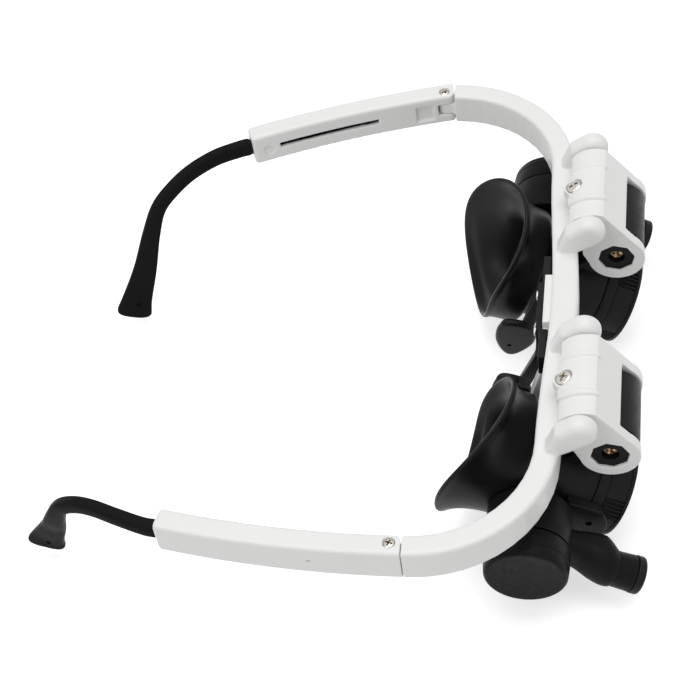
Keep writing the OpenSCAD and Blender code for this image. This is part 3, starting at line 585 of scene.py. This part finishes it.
# Directions across the thin side: along the stem, and in the foot
TIP_LATERAL = Vector((0.94, 0.34, 0))
FOOT_LATERAL = Vector((0.98, -0.05, 0.15))
# Height at the temple, at the bend and in the foot; the bend's station; thickness
TIP_NEAR, TIP_SLIM, TIP_FOOT = 5.2, 4.3, 11.4
TIP_BEND = 5
TIP_THICK = 3.3
# Power of the section's sine and cosine; below 1 its corners fill out
TIP_SQUARE = 0.7
# Eyelet: radius, stations before the route's end, and shift across the foot
EYELET_R, EYELET_BACK, EYELET_SHIFT = 0.8, 0.95, 0.5


def squared(value, power):
    """A sine or cosine for a rounded rectangle instead of a circle."""
    return math.copysign(abs(value) ** power, value)


def tip_height(s):
    if s < TIP_BEND:
        return TIP_NEAR + (TIP_SLIM - TIP_NEAR) * s / TIP_BEND
    return TIP_SLIM + (TIP_FOOT - TIP_SLIM) * ((s - TIP_BEND) / (len(TIP_ROUTE) - 1 - TIP_BEND)) ** 1.6


def tip_axes(s):
    """The tip's centre at one station, and its directions along, across and up."""
    last = len(TIP_ROUTE) - 1
    ahead, behind = catmull(TIP_ROUTE, min(s + 0.05, last)), catmull(TIP_ROUTE, max(s - 0.05, 0))
    along = (ahead - behind).normalized()
    turn = max(0, min(1, (s - 4) / 3))
    lateral = TIP_LATERAL.lerp(FOOT_LATERAL, turn * turn * (3 - 2 * turn))
    across = (lateral - along * along.dot(lateral)).normalized()
    return Vector(TEMPLE_END) + catmull(TIP_ROUTE, s), along, across, across.cross(along)


def tip(side):
    """Sleeve of rounded-off rectangles along the route, with the eyelet cut through its foot."""
    count = len(TIP_ROUTE) - 1
    round_from = 0.75
    rings = []
    stations = [0.05 + (count - 0.8) * k / 80 for k in range(80)]
    stations += [count - round_from * (1 - k / 16) for k in range(17)]
    # Past the last station the foot is closed by two small rings
    for s, past in [(s, 0) for s in stations] + [(count, 0.14), (count, 0.2)]:
        at, along, across, up = tip_axes(s)
        end = max(0, 1 - (count - s) / round_from)
        begin = 0.9 + 0.1 * min(1, s / 0.3)
        height = tip_height(s) * (1 - 0.55 * end ** 3.2) * begin * (1 - 2.2 * past)
        width = TIP_THICK * (1 - 0.5 * end ** 4) * begin * (1 - 3.2 * past)
        # The flared foot is dished between a raised rim
        dish = 0.16 * max(0, min(1, (s - 6.4) / 1.2)) * (1 - end ** 2)
        ring = []
        for k in range(40):
            a = 2 * math.pi * k / 40
            x, y = squared(math.cos(a), TIP_SQUARE), squared(math.sin(a), TIP_SQUARE)
            x *= 1 - dish * (1 - abs(y)) * 1.2
            ring.append(at + along * past + across * (x * width / 2) + up * (y * height / 2))
        rings.append(ring)
    place = FOLD if side == "left" else MIRROR
    obj = skin(side + "_tip_sleeve", rings, place)
    at, along, across, up = tip_axes(count - EYELET_BACK)
    hole = Matrix((across, along, -up)).transposed().to_4x4()
    hole.translation = at - EYELET_SHIFT * up
    cut(obj, [rod("eyelet", EYELET_R, -4, 4, place @ hole)])
    return finish_piece(obj, side + "_tip", 50, "tip_rubber")


for side in SIDES:
    tip(side)


# Eyecup: outer radius of its base, and thickness of the rubber
EYECUP_BASE_R = 15.8
EYECUP_WALL = 1.8


def eyecup_outline(a):
    """Outline round the rubber at one angle, from the seat out to the rim and back inside."""
    rim = 18.4 + 1.84 * math.cos(a) + 0.87 * math.sin(a) - 1.77 * math.cos(2 * a)
    back = 26.4 + 4.7 * math.cos(a) + 0.92 * math.sin(a) + 2.62 * math.cos(2 * a)
    foot = BARREL_REAR + 0.1
    seat, full, wall = NECK_R + 0.08, EYECUP_BASE_R, EYECUP_WALL
    swell, rise = rim - full, back - foot
    inner = BARREL_R - 0.1 - wall
    flare = rim - wall - inner
    return [
        (seat, foot), (full - 1, foot), (full - 0.1, foot + 0.7), (full, foot + 0.16 * rise),
        (full + 0.05 * swell, foot + 0.36 * rise), (full + 0.2 * swell, foot + 0.58 * rise),
        (full + 0.55 * swell, foot + 0.78 * rise), (rim - 0.45, back - 1.6), (rim + 0.05, back - 0.9),
        (rim, back - 0.2), (rim - 0.7, back + 0.1), (rim - 1.5, back - 0.35), (rim - 1 - wall, back - 2),
        (inner + 0.5 * flare, foot + 0.8 * rise), (inner + 0.22 * flare, foot + 0.62 * rise),
        (inner + 0.06 * flare, foot + 0.46 * rise), (seat, foot + 3.6), (seat, foot + 1.8),
    ]


def eyecup(side):
    steps = 56
    verts, faces = [], []
    for k in range(steps):
        a = 2 * math.pi * k / steps
        for radius, back in eyecup_outline(a):
            verts.append((radius * math.cos(a), back, radius * math.sin(a)))
    n = len(verts) // steps
    for k in range(steps):
        m = (k + 1) % steps
        for i in range(n):
            j = (i + 1) % n
            faces.append((k * n + i, k * n + j, m * n + j, m * n + i))
    obj = add_mesh(side + "_eyecup_rubber", verts, faces, on_side(side, OPTICAL_AXIS))
    surface = obj.modifiers.new("surface", "SUBSURF")
    surface.levels = surface.render_levels = 2
    return finish_piece(bake(obj), side + "_eyecup")


# Barrel, lens ring and roller
def barrel(side):
    place = on_side(side, OPTICAL_AXIS)
    bore = BARREL_R - 1.6
    front = RING_REAR + 0.1
    outline = rounded([
        (bore, front), (BARREL_R, front), (BARREL_R, -4.15), (BARREL_R - 0.5, -4.15),
        (BARREL_R - 0.5, -3.65), (BARREL_R, -3.65), (BARREL_R, BARREL_REAR), (NECK_R, BARREL_REAR),
        (NECK_R, BARREL_REAR + 3.5), (9, BARREL_REAR + 3.5), (9, 11.5), (8, 11.5), (8, 9.5), (bore, 7),
    ], [0.1, 0.05, 0.15, 0.1, 0.1, 0.15, 0.7, 0.2, 0.3, 0.15, 0.1, 0.1, 0.1, 0.3])
    body = revolve("body", outline, place)
    # The lug stands on the barrel and reaches forward over the turning ring
    lug = [(2.2, 5.6), (-7.2, 5.5), (-9.6, 2.4), (-10.4, -0.8), (-10.2, -3.6), (-8.4, -5), (-5.2, -4.9),
           (-2.2, -4.6), (0.4, -3.6), (2, -0.5)]
    plate = slab("plate", rounded(lug, [0.6] + [1.2] * 9, 3),
                 BARREL_R + 0.5, BARREL_R + 1.8, place, 0.4)
    under = [(max(y, -6.8), z * 0.93) for y, z in lug]
    root = slab("root", under, BARREL_R - 2, BARREL_R + 0.8, place, 0.2)
    cut(plate, [rod("lug_hole", 0.85, BARREL_R, BARREL_R + 3, place @ translation(0, -5.6, 0.2))])
    boss = revolve("boss", rounded([(0, BARREL_R - 2), (4.5, BARREL_R - 2), (4.5, 15.7), (0, 15.7)],
                                   [0, 0.1, 0.2, 0]), place @ translation(0, LAMP_BACK, 0), 64, "X")
    return finish_piece(join(side + "_barrel_shell", [body, plate, root, boss]), side + "_barrel", 40)


# Grip ribs of the lens ring, in degrees: from rib to rib, and each group's centre past the axes
RIB_PITCH = 5
RIB_TURN = 22


def ring_ribs(a, radius, distance):
    """Grip ribs in four groups of five, on the outside of the lens ring."""
    if radius < BARREL_R - 0.25 or not RING_FRONT + 1.15 < distance < RING_REAR - 0.35:
        return 0
    # The angle runs from +X towards +Z
    at = (math.degrees(a) - RIB_TURN + 45) % 90 - 45
    if abs(at) > 2.5 * RIB_PITCH:
        return 0
    wave = math.cos(math.radians(at * (360 / RIB_PITCH)))
    return 0.05 + 0.33 * math.copysign(abs(wave) ** 0.5, wave)


def lens_ring(side):
    flange = BARREL_R + 0.3
    outline = rounded([
        (9.2, -12), (10.2, RING_FRONT), (flange, RING_FRONT), (flange, RING_FRONT + 1),
        (BARREL_R, RING_FRONT + 1.1), (BARREL_R, RING_FRONT + 1.3), (BARREL_R, RING_REAR - 0.5),
        (BARREL_R, RING_REAR), (10.9, RING_REAR), (10.9, RING_REAR + 3), (10.1, RING_REAR + 3),
        (10.1, -11.5), (9.2, -11.5),
    ], [0.1, 0.2, 0.35, 0.2, 0.05, 0, 0, 0.05, 0.1, 0.1, 0.1, 0.05, 0.05])
    obj = revolve(side + "_grip_ring", outline, on_side(side, OPTICAL_AXIS), 1080, "Y", ring_ribs)
    return finish_piece(obj, side + "_lens_ring", 40)


def roller(side):
    place = on_side(side, TUBE)
    half = 8.85
    radius = 7
    outline = [(0, -half), (radius, -half), (radius, half), (0, half)]
    tube = revolve("tube", rounded(outline, [0, 0.4, 0.4, 0]), place, 96, "X")
    arm = rounded([
        (-3.4, 0), (3.4, 0), (3.4, -9), (6.4, -14.6), (6.4, -16), (-6.4, -16), (-6.4, -14.6), (-3.4, -9),
    ], [0, 0, 2.5, 1, 0, 0, 1, 2.5])
    stem = slab("stem", arm, -6, 6, place, 0.6)
    return finish_piece(join(side + "_roller_arm", [tube, stem]), side + "_roller", 40)


# Lamp
def battery_cap(side):
    """Turning cap with a soft edge and a face that is dished a little."""
    plug, seam = 8.1, CAP_START + 4.2
    outline = rounded([
        (0, CAP_START - 1.1), (plug, CAP_START - 1.1), (plug, CAP_START), (DRUM_R, CAP_START),
        (DRUM_R, seam), (DRUM_R - 0.15, seam + 0.15), (DRUM_R - 0.15, seam + 0.35),
        (DRUM_R - 0.05, seam + 0.5), (DRUM_R - 0.25, DRUM_REACH - 0.7), (DRUM_R - 0.9, DRUM_REACH - 0.05),
        (DRUM_R - 3, DRUM_REACH - 0.2), (0, DRUM_REACH - 0.5),
    ], [0, 0.1, 0.1, 0.3, 0.1, 0.05, 0.05, 0.1, 0.6, 0.5, 2, 0])
    obj = revolve(side + "_cap_shell", outline, on_side(side, LAMP_AXIS), 128, "X")
    return finish_piece(obj, side + "_battery_cap", 40, "dull_plastic")


# Arm and head of the lamp: distance back, centre, half width, half height, squareness
ARM_STATIONS = [
    (4, 22.8, 3.3, 4.4, 2.6), (0, 22.7, 3.5, 4.7, 2.6), (-2, 22.7, 3.6, 4.9, 2.6), (-4, 22.7, 4.1, 5.2, 2.5),
    (-7, 23.2, 5.1, 5.6, 2.4), (-9, 23.6, 5.6, 5.7, 2.3), (-10.5, 24.3, 5.4, 5.4, 2.2),
    (-11.5, 24.8, 5.05, 5.05, 2.1), (-12.1, 25, 4.8, 4.8, 2),
]


def lamp_arm():
    """Rings of the arm, from the drum to the head, with a soft end."""
    rings = []
    steps = 36
    for k in range(steps + 1):
        s = (len(ARM_STATIONS) - 1) * k / steps
        back, middle, width = catmull([v[:3] for v in ARM_STATIONS], s)
        _, height, power = catmull([(0, *v[3:]) for v in ARM_STATIONS], s)
        ring = []
        for i in range(48):
            a = 2 * math.pi * i / 48
            ring.append((middle + width * squared(math.cos(a), 2 / power), back,
                         height * squared(math.sin(a), 2 / power)))
        rings.append(ring)
    last = rings[-1]
    centre = sum((Vector(p) for p in last), Vector()) / len(last)
    for shrink, ahead in ((0.985, -0.12), (0.95, -0.17)):
        rings.append([tuple(centre + (Vector(p) - centre) * shrink + Vector((0, ahead, 0))) for p in last])
    return rings


def lamp_housing(side):
    place = on_side(side, OPTICAL_AXIS)
    bore = DRUM_R - 2.2
    start, end = 15.8, CAP_START - 0.4
    hole = 1.3
    drum_outline = rounded([
        (hole, start), (DRUM_R, start), (DRUM_R, end), (bore, end), (bore, start + 1.7), (hole, start + 1.7),
    ], [0.1, 0.9, 0.18, 0.1, 0.3, 0.1])
    drum = revolve("drum", drum_outline, place @ translation(0, LAMP_BACK, 0), 128, "X")
    arm = skin("arm", lamp_arm(), place)
    head_outline = rounded([
        (2.6, -17.4), (4.6, -17.4), (4.6, -16.9), (4.52, -15.6), (4.47, -13.4), (4.47, -11), (0, -11),
        (0, -12), (2.6, -12),
    ], [0.1, 0.3, 0.1, 0.5, 0.5, 0, 0, 0, 0.2])
    head = revolve("head", head_outline, place @ translation(HEAD_X, 0, 0), 72)
    shell = join(side + "_lamp_shell", [drum, arm, head])
    return finish_piece(shell, side + "_lamp_housing", 35, "dull_plastic")


def lamp_bezel(side):
    outline = rounded([(3.5, -19.6), (4.75, -19.6), (4.75, -17.5), (2.6, -17.5), (2.6, -18.7)],
                      [0.3, 0.55, 0.3, 0.1, 0.3], 6)
    obj = revolve(side + "_bezel_ring", outline, on_side(side, OPTICAL_AXIS) @ translation(HEAD_X, 0, 0), 72)
    return finish_piece(obj, side + "_lamp_bezel", 40)


# Phillips screws, along X: a domed head with a tapered cross recess, turned by some degrees
SCREW_TURN = 20


def phillips(name, r, height, shank_r, shank, place):
    """One screw; its head of radius r stands on X = 0 and its shank points the other way."""
    outline = [(0, -shank), (shank_r, -shank), (shank_r, 0), (r - 0.05, 0), (r, 0.05)]
    for k in range(9):
        a = math.pi / 2 * k / 8
        outline.append((r * math.cos(a), height * (0.4 + 0.6 * math.sin(a))))
    screw = revolve(name, outline, place, 64, "X")
    cutters = []
    for quarter in (0, 90):
        rings = []
        sections = (-0.18 * r, 0.2, 0.1), (0.25 * height, 0.42, 0.13), (height + 0.3, 0.78, 0.2)
        for x, length, width in sections:
            corners = (1, 1), (-1, 1), (-1, -1), (1, -1)
            rings.append([(x, r * length * i, r * width * j) for i, j in corners])
        cutters.append(skin("cross", rings, place @ rotation(SCREW_TURN + quarter, "X")))
    return cut(screw, cutters)


def screws(name, node, heads):
    """One node's screws; heads is a list of ((radius, height, shank radius, shank length), place)."""
    made = [phillips(name, *sizes, place) for sizes, place in heads]
    return finish_piece(join(name, made), node, 30)


def all_screws():
    upward, backward = rotation(-90, "Y"), rotation(90, "Z")
    screws("bracket_screw_pair", "bracket_screws",
           [((2, 1, 1, 8.8), on_side(side, BRACKET_SCREW)) for side in SIDES])
    screws("nose_screw_pair", "nose_screws",
           [((1.3, 0.6, 0.7, 6), translation(x * 6, -29.43, -7) @ backward) for x in (-1, 1)])
    ends = [on_side(side, translation(LOUPE_X, TUBE_Y, TUBE_Z)) @ end
            for side in SIDES for end in (Matrix(), MIRROR)]
    screws("pivot_screw_set", "pivot_screws",
           [((2, 0.6, 1.2, 5.7), end @ translation(10.05, 0, 0)) for end in ends])
    for side in SIDES:
        place = FOLD if side == "left" else MIRROR
        screws(side + "_hinge_pin", side + "_hinge_screw",
               [((1.4, 0.9, HINGE_PIN_R, 7.5), place @ translation(HINGE_X, 0, -1) @ upward)])


for side in SIDES:
    eyecup(side)
    barrel(side)
    lens_ring(side)
    roller(side)
    battery_cap(side)
    lamp_housing(side)
    lamp_bezel(side)
all_screws()

# The other nodes keep the CAD's shape
for node, obj in frame["nodes"].items():
    obj.data.materials.clear()
    obj.data.materials.append(MATERIALS["dull_plastic" if node == "end_plugs" else SLOTS[node]])


# Floor, light and camera
floor_mesh = bpy.data.meshes.new("floor")
reach = 4.0
corners = [(-reach, -reach, 0), (reach, -reach, 0), (reach, reach, 0), (-reach, reach, 0)]
floor_mesh.from_pydata(corners, [], [(0, 1, 2, 3)])
floor = bpy.data.objects.new("floor", floor_mesh)
floor.location.z = cad_box[0].z - 0.0002
bpy.context.scene.collection.objects.link(floor)

paper = Shader("paper", Roughness=1.0)
paper.principled.inputs["Specular IOR Level"].default_value = 0.0
paper.colour(paper.noise(3, 2), (0.8, 0.8, 0.8), (0.82, 0.82, 0.82))
# Where it is seen the paper glows up to white; it lights the object as paper does
share = paper.nodes.new("ShaderNodeMath")
share.operation = "MULTIPLY"
share.inputs[1].default_value = PAPER_GLOW
paper.link(seen_directly(paper.material.node_tree), share.inputs[0])
paper.principled.inputs["Emission Color"].default_value = (1, 1, 1, 1)
paper.link(share.outputs["Value"], paper.principled.inputs["Emission Strength"])
floor_mesh.materials.append(paper.material)

world = bpy.data.worlds.new("studio")
bpy.context.scene.world = world
world.use_nodes = True
sky = world.node_tree
background = sky.nodes["Background"]
background.inputs["Color"].default_value = (1, 1, 1, 1)
strength = sky.nodes.new("ShaderNodeMapRange")
strength.inputs["To Min"].default_value = WORLD_LIGHT
strength.inputs["To Max"].default_value = 1.0
sky.links.new(seen_directly(sky), strength.inputs["Value"])
sky.links.new(strength.outputs["Result"], background.inputs["Strength"])


def area_light(name, place, target, size, power):
    data = bpy.data.lights.new(name, "AREA")
    data.shape = "DISK"
    data.size = size
    data.energy = power
    lamp = bpy.data.objects.new(name, data)
    lamp.location = place
    lamp.rotation_euler = (Vector(target) - Vector(place)).to_track_quat("-Z", "Y").to_euler()
    bpy.context.scene.collection.objects.link(lamp)


area_light("overhead", (0.1, -0.1, 1.3), (0, 0, 0), 1.2, OVERHEAD_POWER)
area_light("key", (-0.6, 0.5, 0.9), (0, 0, -0.02), 0.5, KEY_POWER)

camera_data = bpy.data.cameras.new("camera")
camera_data.sensor_width = SENSOR_WIDTH
camera_data.lens = SENSOR_WIDTH * FOCAL_LENGTH / PICTURE_WIDTH
azimuth, elevation, roll = (math.radians(a) for a in CAMERA_ANGLES)
back = Vector((math.sin(azimuth) * math.cos(elevation), -math.cos(azimuth) * math.cos(elevation),
               math.sin(elevation)))
right = Vector((math.cos(azimuth), math.sin(azimuth), 0))
up = back.cross(right)
axis_x = math.cos(roll) * right + math.sin(roll) * up
axis_y = -math.sin(roll) * right + math.cos(roll) * up
camera = bpy.data.objects.new("camera", camera_data)
camera.matrix_world = Matrix.Translation(CAMERA_PLACE) @ Matrix((axis_x, axis_y, back)).transposed().to_4x4()
bpy.context.scene.collection.objects.link(camera)
bpy.context.scene.camera = camera
bpy.context.scene.view_settings.view_transform = "Standard"
